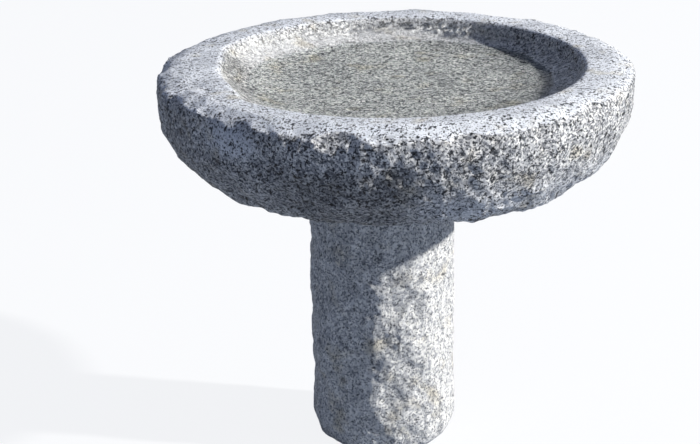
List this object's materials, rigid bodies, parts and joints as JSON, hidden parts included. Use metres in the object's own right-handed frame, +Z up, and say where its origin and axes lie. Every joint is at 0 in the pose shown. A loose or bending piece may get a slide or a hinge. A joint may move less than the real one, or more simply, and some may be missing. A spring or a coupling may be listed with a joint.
{
  "type": "pedestal birdbath",
  "caption": "Rough-hewn granite birdbath: a thick round bowl with a shallow basin, located by a dowel on a round column, free to turn on its bed and to be lifted off.",
  "frame": {"origin": "centre of the column's foot, on the ground", "axes": "+Z up, along the column's axis. +X to the right and +Y to the back, as pictured"},
  "size_m": [0.5004, 0.4997, 0.42],
  "materials": {
    "granite_bowl": "light grey speckled granite, pitched outside, bush-hammered rim",
    "granite_column": "light grey speckled granite, pointed and spalled",
    "dowel_steel": "drawn stainless bar",
    "anchor_resin": "grey cast anchor resin",
    "bedding_rubber": "black sheet rubber, matt"
  },
  "bodies": {
    "pedestal": {"column": "granite_column", "locating_dowel": "dowel_steel", "dowel_resin": "anchor_resin"},
    "bedding": {"bedding_ring": "bedding_rubber"},
    "bowl": {"bowl": "granite_bowl"}
  },
  "joints": [
    {"name": "bowl_turn", "type": "hinge", "parent": "pedestal", "child": "bedding", "pos_m": [0, 0, 0.292], "axis": [0, 0, 1], "continuous": true},
    {"name": "bowl_lift", "type": "slide", "parent": "bedding", "child": "bowl", "axis": [0, 0, 1], "range_m": [0, 0.12]}
  ]
}
